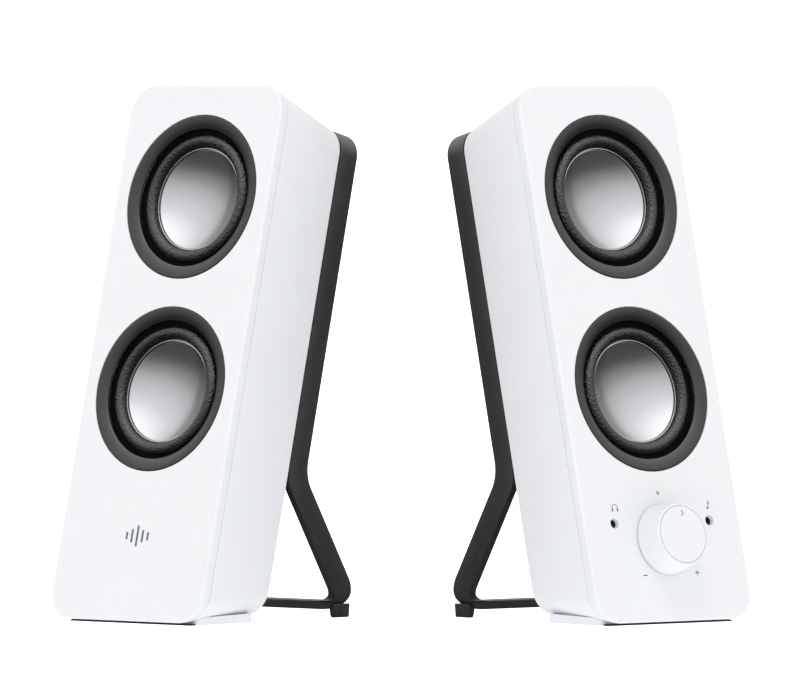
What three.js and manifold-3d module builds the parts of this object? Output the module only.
// A pair of desktop speakers. Each cabinet is a tapered white box that leans back on a bent bar stand and
// holds an active driver above a passive radiator. The right speaker also holds the controls and amplifier.
// Millimetres, +Z up, fronts towards -Y, the two speakers turned away from each other.
import * as THREE from 'three';
import { mergeVertices } from 'three/addons/utils/BufferGeometryUtils.js';
import Module from 'manifold-3d';

const wasm = await Module();
wasm.setup();

// ---- Driving dimensions ------------------------------------------------------------------------------

// Placement on the desk.
const HALF_SPACING = 124.5; // from the centre plane to the middle of each front's lower edge
const TOE_OUT = THREE.MathUtils.degToRad(39.4); // turn of each speaker about Z
const LEAN = THREE.MathUtils.degToRad(13.9); // the fronts lean back by this angle
const CLEARANCE = 0.3; // gap between pieces that touch

// Cabinet, in cabinet axes: X across, Y depth behind the front, Z up the slope of the front.
const FRONT_HALF_WIDTH = 45.35;
const FRONT_LOW = 1.2;
const FRONT_TOP = 248.2;
const FRONT_CORNER = 13;
const BACK_DEPTH = 52.3; // rear edge of the white shell
const BACK_HALF_WIDTH = 38;
const BACK_LOW = 16.1;
const BACK_TOP = 240.4;
const BACK_CORNER = 11;
const BAFFLE_DEPTH = 6;
const BAFFLE_PLATE = 4;
const EDGE_ROUND = 1.4;
const WALL = 2.5;

// Drivers.
const LOWER_DRIVER = 107.8; // height of each driver's centre up the slope
const UPPER_DRIVER = 196.4;
const TRIM_OUTER = 37.65;
const TRIM_INNER = 31.9;
const TRIM_DISH = 1.6; // how far the ring's inner edge lies behind the front
const TRIM_THICK = 2.3;
const OPENING_RADIUS = 33.4;
const CONE_RADIUS = 23.75;
const CONE_RIM_DEPTH = 5.2;
const CONE_DISH = 7;
const CONE_THICK = 1;
const ROLL_INNER = 24.1;
const ROLL_OUTER = 29.5;
const SURROUND_OUTER = 33.1;
const BASKET_OUTER = 37;
const COIL_INNER = 9.9;
const COIL_OUTER = 10.6;

// Stand.
const BAR_THICK = 3.4;
const BAR_FRONT = BACK_DEPTH + CLEARANCE;
const BAR_BACK = 64.3;
const KNEE_Y = 75.8; // middle of the bar where each leg leaves the cabinet
const KNEE_Z = 63.7;
const LEG_SLANT = THREE.MathUtils.degToRad(32.4); // from the vertical
const FLOOR_BAR_LOW = 3.6;
const FLOOR_BAR_HIGH = 7.6;
const FLOOR_BAR_FRONT = 101.5;
const HEEL_ROUND = 9;
const FRAME_CORNER = 8; // outer radius of the loop's floor corners, seen from the front
const FRAME_INNER_CORNER = 6.5;

// Feet.
const FOOT_HALF_WIDTH = 38;
const FOOT_HIGH = 4.2; // where the cabinet's rounded bottom leaves room for it
const FOOT_FRONT = 9.3;
const FOOT_BACK = 47;
const FOOT_CORNER = 4;
const STRIP_HALF_WIDTH = 36;
const STRIP_FRONT = 5.5;
const STRIP_HIGH = 0.8;
const REAR_FOOT_FRONT = 103;
const REAR_FOOT_BACK = 113;
const REAR_FOOT_OUTER = 37.7;
const REAR_FOOT_INNER = 33.8;
const REAR_FOOT_HIGH = 6.2;

// Controls of the right speaker.
const KNOB_HEIGHT = 38.5;
const KNOB_BASE_RADIUS = 16.2;
const KNOB_FACE_RADIUS = 13.4;
const KNOB_LENGTH = 12.6;
const SHAFT_RADIUS = 3;
const JACK_HEIGHT = 46.8;
const JACK_OFFSET = 27.6;
const JACK_HOLE_RADIUS = 2.3;
const JACK_BORE_RADIUS = 1.75;
const LIGHT_HEIGHT = 60;
const LIGHT_RADIUS = 0.7;

// Rear panel.
const COVER_INSET = BAR_THICK + CLEARANCE;
const PANEL_BACK = 61;
const PANEL_INSET = 11;
const SOCKET_HEIGHT = 34;
const SOCKET_SPACING = 18;
const SCREW_HEIGHT = (LOWER_DRIVER + UPPER_DRIVER) / 2; // between the drivers, beside the panel
const SCREW_OFFSET = 30.6;
const POST_BACK = 49;
const COVER_PLATE = 2.8;

const ROUND_STEPS = 24;
const FINE_STEPS = 12;
const CORNER_STEPS = 4;
const TRIM_STEPS = 32;

const FINISHES = {
  white: { color: 0xf0f1f3, roughness: 0.42, metalness: 0 },
  charcoal: { color: 0x2b2c2e, roughness: 0.62, metalness: 0 },
  trim: { color: 0x4a4b4d, roughness: 0.45, metalness: 0.1 },
  rubber: { color: 0x1b1b1c, roughness: 0.7, metalness: 0 },
  cone: { color: 0xc4c5c8, roughness: 0.38, metalness: 0.35 },
  steel: { color: 0x9a9ca0, roughness: 0.4, metalness: 0.9 },
  ferrite: { color: 0x3a3b3d, roughness: 0.6, metalness: 0.3 },
  copper: { color: 0xb06a3c, roughness: 0.35, metalness: 0.9 },
  fabric: { color: 0xb98a4a, roughness: 0.9, metalness: 0 },
  circuit: { color: 0x1f6b3a, roughness: 0.5, metalness: 0 },
  socket: { color: 0x161617, roughness: 0.5, metalness: 0 },
  light: { color: 0x6fae2e, roughness: 0.2, metalness: 0 },
};

// ---- Solids: joins and cuts ----------------------------------------------------------------------------

function toSolid(geometry) {
  const bare = geometry.clone();
  bare.deleteAttribute('normal');
  bare.deleteAttribute('uv');
  const merged = mergeVertices(bare, 1e-4);
  const index = Array.from(merged.index.array);
  const triangles = [];
  for (let i = 0; i < index.length; i += 3) {
    const [a, b, c] = index.slice(i, i + 3);
    if (a !== b && b !== c && c !== a) triangles.push(a, b, c);
  }
  const vertProperties = new Float32Array(merged.attributes.position.array);
  const triVerts = new Uint32Array(triangles);
  return new wasm.Manifold(new wasm.Mesh({ numProp: 3, vertProperties, triVerts }));
}

function toGeometry(solid) {
  const mesh = solid.getMesh();
  const geometry = new THREE.BufferGeometry();
  geometry.setAttribute('position', new THREE.BufferAttribute(new Float32Array(mesh.vertProperties), 3));
  geometry.setIndex(new THREE.BufferAttribute(new Uint32Array(mesh.triVerts), 1));
  return geometry;
}

function cut(base, ...tools) {
  return toGeometry(tools.reduce((solid, tool) => solid.subtract(toSolid(tool)), toSolid(base)));
}

function join(base, ...others) {
  return toGeometry(others.reduce((solid, other) => solid.add(toSolid(other)), toSolid(base)));
}

function overlap(base, other) {
  return toGeometry(toSolid(base).intersect(toSolid(other)));
}

// ---- Basic shapes --------------------------------------------------------------------------------------

function roundedRect(halfWidth, low, high, radius) {
  const shape = new THREE.Shape();
  shape.moveTo(-halfWidth + radius, low);
  shape.lineTo(halfWidth - radius, low);
  shape.absarc(halfWidth - radius, low + radius, radius, -Math.PI / 2, 0);
  shape.lineTo(halfWidth, high - radius);
  shape.absarc(halfWidth - radius, high - radius, radius, 0, Math.PI / 2);
  shape.lineTo(-halfWidth + radius, high);
  shape.absarc(-halfWidth + radius, high - radius, radius, Math.PI / 2, Math.PI);
  shape.lineTo(-halfWidth, low + radius);
  shape.absarc(-halfWidth + radius, low + radius, radius, Math.PI, Math.PI * 1.5);
  return shape;
}

// A closed outline through corner points [x, y, radius], each corner rounded by its own radius.
function roundedOutline(corners) {
  const shape = new THREE.Shape();
  const count = corners.length;
  corners.forEach(([x, y, radius], i) => {
    const here = new THREE.Vector2(x, y);
    const back = new THREE.Vector2(...corners[(i + count - 1) % count]).sub(here).normalize();
    const ahead = new THREE.Vector2(...corners[(i + 1) % count]).sub(here).normalize();
    const halfAngle = Math.acos(THREE.MathUtils.clamp(back.dot(ahead), -1, 1)) / 2;
    const reach = radius / Math.tan(halfAngle);
    const start = here.clone().addScaledVector(back, reach);
    const draw = i === 0 ? 'moveTo' : 'lineTo';
    shape[draw](start.x, start.y);
    if (radius > 0) {
      const bisector = back.clone().add(ahead).normalize();
      const centre = here.clone().addScaledVector(bisector, radius / Math.sin(halfAngle));
      const end = here.clone().addScaledVector(ahead, reach);
      const from = Math.atan2(start.y - centre.y, start.x - centre.x);
      const to = Math.atan2(end.y - centre.y, end.x - centre.x);
      const clockwise = back.x * ahead.y - back.y * ahead.x > 0;
      shape.absarc(centre.x, centre.y, radius, from, to, clockwise);
    }
  });
  return shape;
}

// An outline in the XZ plane, extruded along Y from one depth to another.
function slab(shape, front, back, round = 0) {
  const geometry = new THREE.ExtrudeGeometry(shape, {
    depth: back - front - 2 * round,
    bevelEnabled: round > 0,
    bevelThickness: round,
    bevelSize: round,
    bevelOffset: -round,
    bevelSegments: 2,
    curveSegments: CORNER_STEPS,
  });
  return geometry.rotateX(Math.PI / 2).translate(0, back - round, 0);
}

// An outline in the YZ plane, extruded along X between two planes.
function sideSlab(shape, left, right) {
  const geometry = new THREE.ExtrudeGeometry(shape, {
    depth: right - left,
    bevelEnabled: false,
    curveSegments: CORNER_STEPS,
  });
  const turn = new THREE.Matrix4().makeBasis(
    new THREE.Vector3(0, 1, 0),
    new THREE.Vector3(0, 0, 1),
    new THREE.Vector3(1, 0, 0),
  );
  return geometry.applyMatrix4(turn).translate(left, 0, 0);
}

function box(x0, x1, y0, y1, z0, z1) {
  const geometry = new THREE.BoxGeometry(x1 - x0, y1 - y0, z1 - z0);
  return geometry.translate((x0 + x1) / 2, (y0 + y1) / 2, (z0 + z1) / 2);
}

// Round bodies share the depth axis: profiles are [radius, depth] pairs about Y.
function rod(radius, front, back, steps = FINE_STEPS) {
  const geometry = new THREE.CylinderGeometry(radius, radius, back - front, steps);
  return geometry.translate(0, (front + back) / 2, 0);
}

function turned(profile, steps = ROUND_STEPS) {
  const points = profile.map(([radius, depth]) => new THREE.Vector2(radius, depth));
  const onAxis = profile[0][0] === 0 && profile[profile.length - 1][0] === 0;
  if (!onAxis) points.push(points[0].clone());
  const twiceArea = points.reduce((sum, p, i) => {
    const q = points[(i + 1) % points.length];
    return sum + p.x * q.y - q.x * p.y;
  }, 0);
  if (twiceArea < 0) points.reverse();
  return new THREE.LatheGeometry(points, steps);
}

function ring(inner, outer, front, back, steps = ROUND_STEPS) {
  return turned([[inner, front], [outer, front], [outer, back], [inner, back]], steps);
}

// ---- Cabinet -------------------------------------------------------------------------------------------

// The cabinet narrows and shortens towards the back: every outline drawn at the front is scaled by depth.
function taper(geometry) {
  const sideRate = (FRONT_HALF_WIDTH - BACK_HALF_WIDTH) / FRONT_HALF_WIDTH / BACK_DEPTH;
  const lowRate = (BACK_LOW - FRONT_LOW) / BACK_DEPTH;
  const topRate = (BACK_TOP - FRONT_TOP) / BACK_DEPTH;
  const position = geometry.attributes.position;
  for (let i = 0; i < position.count; i += 1) {
    const depth = position.getY(i);
    const along = (position.getZ(i) - FRONT_LOW) / (FRONT_TOP - FRONT_LOW);
    position.setX(i, position.getX(i) * (1 - sideRate * depth));
    position.setZ(i, position.getZ(i) + depth * THREE.MathUtils.lerp(lowRate, topRate, along));
  }
  return geometry;
}

function frontOutline(inset = 0) {
  const corner = FRONT_CORNER - Math.min(inset, FRONT_CORNER - 2);
  return roundedRect(FRONT_HALF_WIDTH - inset, FRONT_LOW + inset, FRONT_TOP - inset, corner);
}

function backOutline(inset = 0) {
  const corner = BACK_CORNER - Math.min(inset, BACK_CORNER - 2);
  return roundedRect(BACK_HALF_WIDTH - inset, BACK_LOW + inset, BACK_TOP - inset, corner);
}

function frontBaffle(hasControls) {
  const block = taper(slab(frontOutline(), 0, BAFFLE_DEPTH + EDGE_ROUND, EDGE_ROUND));
  const behind = box(-60, 60, BAFFLE_DEPTH, 20, -20, 300);
  const pocket = taper(slab(frontOutline(WALL), BAFFLE_PLATE, BAFFLE_DEPTH + 4));
  const tools = [];
  for (const height of [LOWER_DRIVER, UPPER_DRIVER]) {
    const seat = rod(TRIM_OUTER + CLEARANCE, -2, TRIM_THICK + CLEARANCE, TRIM_STEPS);
    const opening = rod(OPENING_RADIUS, -2, 8, ROUND_STEPS);
    tools.push(seat.translate(0, 0, height), opening.translate(0, 0, height));
  }
  if (hasControls) {
    tools.push(rod(SHAFT_RADIUS + 0.6, -2, 8).translate(0, 0, KNOB_HEIGHT));
    tools.push(rod(LIGHT_RADIUS + 0.2, -2, 8, 8).translate(0, 0, LIGHT_HEIGHT));
    for (const side of [-1, 1]) {
      const place = [side * JACK_OFFSET, 0, JACK_HEIGHT];
      tools.push(rod(JACK_HOLE_RADIUS, -2, 8).translate(...place));
      tools.push(rod(5, BAFFLE_PLATE - 0.9, 8).translate(...place));
    }
  }
  const tray = cut(block, behind, pocket, ...tools);
  const posts = [-1, 1].map((side) => ring(1.9, 3.8, BAFFLE_PLATE - 0.5, POST_BACK, FINE_STEPS)
    .translate(side * SCREW_OFFSET, 0, SCREW_HEIGHT));
  return join(tray, ...posts);
}

function cabinetShell() {
  const front = BAFFLE_DEPTH + CLEARANCE;
  const outer = taper(slab(frontOutline(), front, BACK_DEPTH));
  const inner = taper(slab(frontOutline(WALL), front - 5, BACK_DEPTH + 5));
  return cut(outer, inner);
}

function backCover(sockets) {
  const plate = slab(backOutline(COVER_INSET), BAR_FRONT, BAR_FRONT + COVER_PLATE);
  const lip = slab(backOutline(WALL + 2 * CLEARANCE), POST_BACK + CLEARANCE, BAR_FRONT);
  const panel = slab(backOutline(PANEL_INSET), BAR_FRONT + 1, PANEL_BACK);
  const lipHollow = slab(backOutline(WALL + 2 * CLEARANCE + 2), POST_BACK - 1, BAR_FRONT);
  const panelHollow = slab(backOutline(PANEL_INSET + 2.4), POST_BACK - 1, PANEL_BACK - 2.6);
  const screwHoles = [-1, 1].map((side) => rod(1.9, POST_BACK, PANEL_BACK)
    .translate(side * SCREW_OFFSET, 0, SCREW_HEIGHT));
  const socketHoles = sockets.map(([x, radius]) => rod(radius, POST_BACK, PANEL_BACK + 2)
    .translate(x, 0, SOCKET_HEIGHT));
  return cut(join(plate, lip, panel), lipHollow, panelHollow, ...screwHoles, ...socketHoles);
}

function coverScrew() {
  const seat = BAR_FRONT + COVER_PLATE + CLEARANCE;
  return turned([
    [0, seat + 1.9],
    [2.2, seat + 1.5],
    [3, seat],
    [1.55, seat],
    [1.55, 36],
    [0, 34.5],
  ], FINE_STEPS);
}

// ---- Stand ---------------------------------------------------------------------------------------------

// A point of the cabinet's depth-and-slope plane, in the upright YZ plane.
function upright(depth, slope) {
  return new THREE.Vector2(
    slope * Math.sin(LEAN) + depth * Math.cos(LEAN),
    slope * Math.cos(LEAN) - depth * Math.sin(LEAN),
  );
}

function crossing(pointA, directionA, pointB, directionB) {
  const between = pointB.clone().sub(pointA);
  const scale = between.cross(directionB) / directionA.cross(directionB);
  return pointA.clone().addScaledVector(directionA, scale);
}

// Side view of one leg, from the straight stretch on the cabinet down to the floor bar.
function legOutline() {
  const upSlope = new THREE.Vector2(Math.sin(LEAN), Math.cos(LEAN));
  const downLeg = new THREE.Vector2(Math.sin(LEG_SLANT), -Math.cos(LEG_SLANT));
  const acrossLeg = new THREE.Vector2(Math.cos(LEG_SLANT), Math.sin(LEG_SLANT));
  const halfBar = (BAR_BACK - BAR_FRONT) / 2;
  const knee = new THREE.Vector2(KNEE_Y, KNEE_Z);
  const legFront = knee.clone().addScaledVector(acrossLeg, -halfBar);
  const legBack = knee.clone().addScaledVector(acrossLeg, halfBar);
  const level = new THREE.Vector2(1, 0);
  const start = LOWER_DRIVER;
  const topFront = upright(BAR_FRONT, start);
  const topBack = upright(BAR_BACK, start);
  const kneeBack = crossing(topBack, upSlope, legBack, downLeg);
  const kneeFront = crossing(topFront, upSlope, legFront, downLeg);
  const heel = crossing(legBack, downLeg, new THREE.Vector2(0, FLOOR_BAR_LOW), level);
  const crotch = crossing(legFront, downLeg, new THREE.Vector2(0, FLOOR_BAR_HIGH), level);
  return roundedOutline([
    [topBack.x, topBack.y, 0],
    [topFront.x, topFront.y, 0],
    [kneeFront.x, kneeFront.y, 14],
    [crotch.x, crotch.y, 2],
    [FLOOR_BAR_FRONT, FLOOR_BAR_HIGH, 1],
    [FLOOR_BAR_FRONT, FLOOR_BAR_LOW, 1],
    [heel.x, heel.y, HEEL_ROUND],
    [kneeBack.x, kneeBack.y, 16],
  ]);
}

// The whole loop is the side outline cut by the front outline: one bar of even thickness all the way round.
function standFrame() {
  const loop = slab(backOutline(), BAR_FRONT, BAR_BACK);
  const loopHollow = slab(backOutline(BAR_THICK), BAR_FRONT - 5, BAR_BACK + 5);
  const upper = cut(loop, loopHollow, box(-60, 60, 0, 99, -20, LOWER_DRIVER - 4)).rotateX(-LEAN);
  const side = sideSlab(legOutline(), -BACK_HALF_WIDTH, BACK_HALF_WIDTH);
  const outside = slab(roundedRect(BACK_HALF_WIDTH, FLOOR_BAR_LOW, 200, FRAME_CORNER), 0, 150);
  const inside = slab(
    roundedRect(BACK_HALF_WIDTH - BAR_THICK, FLOOR_BAR_HIGH, 200, FRAME_INNER_CORNER),
    -10,
    160,
  );
  const legs = cut(overlap(side, outside), inside);
  return join(upper, legs);
}

// The foot under the cabinet has a level underside, and its top follows the cabinet's rounded bottom.
function baseFoot() {
  const plan = roundedRect(FOOT_HALF_WIDTH, FOOT_FRONT, FOOT_BACK, FOOT_CORNER);
  const block = new THREE.ExtrudeGeometry(plan, {
    depth: FOOT_HIGH,
    bevelEnabled: false,
    curveSegments: CORNER_STEPS,
  });
  const cabinet = taper(slab(frontOutline(-CLEARANCE), -1, BACK_DEPTH + 1)).rotateX(-LEAN);
  return cut(block, cabinet);
}

function frontFootStrip() {
  const back = FOOT_FRONT - CLEARANCE;
  return box(-STRIP_HALF_WIDTH, STRIP_HALF_WIDTH, STRIP_FRONT, back, 0, STRIP_HIGH);
}

// Rubber block that squares off a floor corner of the stand's loop.
function rearFoot(side) {
  const block = slab(roundedOutline([
    [REAR_FOOT_INNER + 1.6, 0, 0],
    [REAR_FOOT_OUTER, 0, 0.8],
    [REAR_FOOT_OUTER, REAR_FOOT_HIGH, 0],
    [REAR_FOOT_INNER, REAR_FOOT_HIGH, 0],
    [REAR_FOOT_INNER, 2.6, 0],
  ]), REAR_FOOT_FRONT, REAR_FOOT_BACK);
  const loop = slab(
    roundedRect(
      BACK_HALF_WIDTH + CLEARANCE,
      FLOOR_BAR_LOW - CLEARANCE,
      200,
      FRAME_CORNER + CLEARANCE,
    ),
    REAR_FOOT_FRONT - 1,
    REAR_FOOT_BACK + 1,
  );
  const foot = cut(block, loop);
  return side > 0 ? foot : foot.rotateZ(Math.PI).translate(0, REAR_FOOT_FRONT + REAR_FOOT_BACK, 0);
}

// ---- Drivers -------------------------------------------------------------------------------------------

function trimRing() {
  return turned([
    [TRIM_INNER, TRIM_DISH],
    [TRIM_INNER + 0.5, TRIM_DISH - 0.25],
    [TRIM_OUTER - 0.4, 0.05],
    [TRIM_OUTER, 0.3],
    [TRIM_OUTER, TRIM_THICK],
    [TRIM_INNER, TRIM_THICK],
  ], TRIM_STEPS);
}

function basket(hasMotor) {
  const seat = 22;
  const body = turned([
    [26, 5.3],
    [BASKET_OUTER, 5.3],
    [BASKET_OUTER, 7.3],
    [31.5, 7.3],
    [24.5, seat + 1.5],
    [hasMotor ? 11.3 : 16, seat + 1.5],
    [hasMotor ? 11.3 : 16, seat],
    [22.8, seat],
    [29, 8.2],
    [26, 7],
  ], 16);
  const windows = [0, 1, 2, 3].map((quarter) => box(-8, 8, 10, 19, 18, 40)
    .rotateY((quarter + 0.5) * Math.PI / 2));
  return cut(body, ...windows);
}

// A flat gluing flange outside and one half-roll inside it, open towards the back.
function surround() {
  const middle = (ROLL_INNER + ROLL_OUTER) / 2;
  const radius = (ROLL_OUTER - ROLL_INNER) / 2;
  const base = 5;
  const arc = (rollRadius, steps, direction) => Array.from({ length: steps + 1 }, (_, i) => {
    const angle = Math.PI * (direction > 0 ? i : steps - i) / steps;
    return [middle - rollRadius * Math.cos(angle), base - 0.3 - rollRadius * Math.sin(angle)];
  });
  return turned([
    ...arc(radius, 4, 1),
    [SURROUND_OUTER, base - 0.6],
    [SURROUND_OUTER, base],
    ...arc(radius - 0.6, 3, -1).map(([r, depth]) => [r, depth + 0.3]),
  ]);
}

function dishDepth(radius) {
  const sphere = (CONE_RADIUS ** 2 + CONE_DISH ** 2) / (2 * CONE_DISH);
  return CONE_RIM_DEPTH + CONE_DISH - sphere + Math.sqrt(sphere ** 2 - radius ** 2);
}

function cone() {
  const steps = 4;
  const front = Array.from({ length: steps + 1 }, (_, i) => {
    const radius = CONE_RADIUS * i / steps;
    return [radius, dishDepth(radius)];
  });
  const back = front.map(([radius, depth]) => [radius, depth + CONE_THICK]).reverse();
  return turned([...front, ...back]);
}

function voiceCoil() {
  return ring(COIL_INNER, COIL_OUTER, dishDepth(COIL_INNER) + CONE_THICK + CLEARANCE, 29.5, 20);
}

function spider() {
  const inner = COIL_OUTER + CLEARANCE;
  const outer = 22.4;
  const waves = 2.5;
  const steps = waves * 2;
  const line = (offset) => Array.from({ length: steps + 1 }, (_, i) => [
    THREE.MathUtils.lerp(inner, outer, i / steps),
    18 + offset + 0.8 * Math.cos(2 * Math.PI * waves * i / steps),
  ]);
  return turned([...line(0), ...line(0.5).reverse()], 16);
}

function backPlate() {
  return turned([[0, 24], [9.3, 24], [9.3, 35.6], [22, 35.6], [22, 39], [0, 39]], 24);
}

function tuningMass() {
  const front = dishDepth(8) + CONE_THICK + CLEARANCE + 0.5;
  return turned([[0, front], [8, front], [8, front + 4], [0, front + 4]], 16);
}

// ---- Controls and electronics ----------------------------------------------------------------------------

function volumeKnob() {
  const face = -CLEARANCE - KNOB_LENGTH;
  const body = turned([
    [0, face],
    [KNOB_FACE_RADIUS, face],
    [KNOB_FACE_RADIUS + 0.75, face + 0.3],
    [KNOB_FACE_RADIUS + 1.05, face + 1],
    [KNOB_BASE_RADIUS, -CLEARANCE],
    [KNOB_BASE_RADIUS - 2, -CLEARANCE],
    [KNOB_FACE_RADIUS - 1.2, face + 2.2],
    [5.6, face + 2.2],
    [5.6, -1.5],
    [0, -1.5],
  ]);
  return cut(body, rod(SHAFT_RADIUS + CLEARANCE, face + 3, 5));
}

function volumeShaft() {
  const shaft = rod(SHAFT_RADIUS, -CLEARANCE - KNOB_LENGTH + 3.3, 8.5);
  return cut(shaft, box(-5, 5, -20, -1, SHAFT_RADIUS - 1.4, 5));
}

function volumePot() {
  const body = box(-7, 7, BAFFLE_PLATE + CLEARANCE, 13.7, -7, 7);
  return cut(body, rod(SHAFT_RADIUS + 0.5, -2, 9));
}

function frontJack() {
  const body = join(box(-4, 4, 5, 13.7, -5, 5), rod(4.4, BAFFLE_PLATE - 0.6, 6));
  return cut(body, rod(JACK_BORE_RADIUS, 0, 12));
}

function controlBoard() {
  return box(-36, 36, 14, 15.6, 28, 66);
}

function amplifierBoard() {
  return box(-29, 29, 44, 45.6, 24, 64);
}

function powerLight() {
  return rod(LIGHT_RADIUS, -0.05, 13.7, 8);
}

function barrelSocket(outer, bore) {
  const body = join(rod(outer, 50, PANEL_BACK + 0.2), box(-outer, outer, 46, 51, -outer, outer));
  return cut(body, rod(bore, 50, PANEL_BACK + 3));
}

function cableGland() {
  return turned([
    [2.4, 48],
    [5.2, 48],
    [5.2, PANEL_BACK + 0.3],
    [6.6, PANEL_BACK + 0.3],
    [5.8, PANEL_BACK + 2.6],
    [2.4, PANEL_BACK + 3],
  ], FINE_STEPS);
}

// ---- Assembly ------------------------------------------------------------------------------------------

const SOCKETS = {
  power_inlet: { x: -SOCKET_SPACING, outer: 4.6, bore: 2.75 },
  line_in_socket: { x: 0, outer: 3.6, bore: JACK_BORE_RADIUS },
  speaker_socket: { x: SOCKET_SPACING, outer: 4.2, bore: 1.6 },
};
const GLAND_HOLE = 5.5;

function piece(name, geometry, finish, height = 0, across = 0) {
  const mesh = new THREE.Mesh(geometry, new THREE.MeshStandardMaterial(FINISHES[finish]));
  mesh.name = name;
  mesh.position.set(across, 0, height);
  return mesh;
}

function driver(prefix, height, hasMotor) {
  const pieces = [
    ['trim_ring', trimRing(), 'trim'],
    ['basket', basket(hasMotor), 'steel'],
    ['surround', surround(), 'rubber'],
    ['cone', cone(), 'cone'],
  ];
  if (hasMotor) {
    pieces.push(
      ['voice_coil', voiceCoil(), 'copper'],
      ['spider', spider(), 'fabric'],
      ['front_plate', ring(11.1, 22, 23.8, 26.8, 20), 'steel'],
      ['magnet', ring(13, 25, 27.1, 35.3, 24), 'ferrite'],
      ['back_plate', backPlate(), 'steel'],
    );
  } else {
    pieces.push(['tuning_mass', tuningMass(), 'steel']);
  }
  return pieces.map(([name, geometry, finish]) => piece(`${prefix}_${name}`, geometry, finish, height));
}

function controls() {
  const pieces = [
    piece('volume_knob', volumeKnob(), 'white', KNOB_HEIGHT),
    piece('volume_shaft', volumeShaft(), 'steel', KNOB_HEIGHT),
    piece('volume_pot', volumePot(), 'socket', KNOB_HEIGHT),
    piece('headphone_jack', frontJack(), 'socket', JACK_HEIGHT, -JACK_OFFSET),
    piece('aux_jack', frontJack(), 'socket', JACK_HEIGHT, JACK_OFFSET),
    piece('power_light', powerLight(), 'light', LIGHT_HEIGHT),
    piece('control_board', controlBoard(), 'circuit'),
    piece('amplifier_board', amplifierBoard(), 'circuit'),
  ];
  for (const [name, { x, outer, bore }] of Object.entries(SOCKETS)) {
    pieces.push(piece(name, barrelSocket(outer, bore), 'socket', SOCKET_HEIGHT, x));
  }
  return pieces;
}

function speaker(side, sign) {
  const isRight = sign > 0;
  const holes = isRight
    ? Object.values(SOCKETS).map(({ x, outer }) => [x, outer + CLEARANCE])
    : [[0, GLAND_HOLE]];
  const leaning = new THREE.Group();
  leaning.rotation.x = -LEAN;
  leaning.add(
    piece(`${side}_front_baffle`, frontBaffle(isRight), 'white'),
    piece(`${side}_cabinet_shell`, cabinetShell(), 'white'),
    piece(`${side}_back_cover`, backCover(holes), 'charcoal'),
    piece(`${side}_cover_screw_a`, coverScrew(), 'steel', SCREW_HEIGHT, -SCREW_OFFSET),
    piece(`${side}_cover_screw_b`, coverScrew(), 'steel', SCREW_HEIGHT, SCREW_OFFSET),
    ...driver(`${side}_upper`, UPPER_DRIVER, true),
    ...driver(`${side}_lower`, LOWER_DRIVER, false),
  );
  if (isRight) {
    leaning.add(...controls());
  } else {
    leaning.add(piece('cable_gland', cableGland(), 'rubber', SOCKET_HEIGHT));
  }
  const standing = new THREE.Group();
  standing.add(
    leaning,
    piece(`${side}_stand_frame`, standFrame(), 'charcoal'),
    piece(`${side}_base_foot`, baseFoot(), 'white'),
    piece(`${side}_front_foot_strip`, frontFootStrip(), 'rubber'),
    piece(`${side}_rear_foot_inner`, rearFoot(-sign), 'rubber'),
    piece(`${side}_rear_foot_outer`, rearFoot(sign), 'rubber'),
  );
  standing.rotation.z = sign * TOE_OUT;
  standing.position.x = sign * HALF_SPACING;
  return standing;
}

// The pair's origin is the middle of the desk area that it covers.
function pair() {
  const group = new THREE.Group();
  group.add(speaker('left', -1), speaker('right', 1));
  const bounds = new THREE.Box3().setFromObject(group, true);
  const centre = bounds.getCenter(new THREE.Vector3());
  group.position.set(-centre.x, -centre.y, -bounds.min.z);
  return group;
}

export default pair();
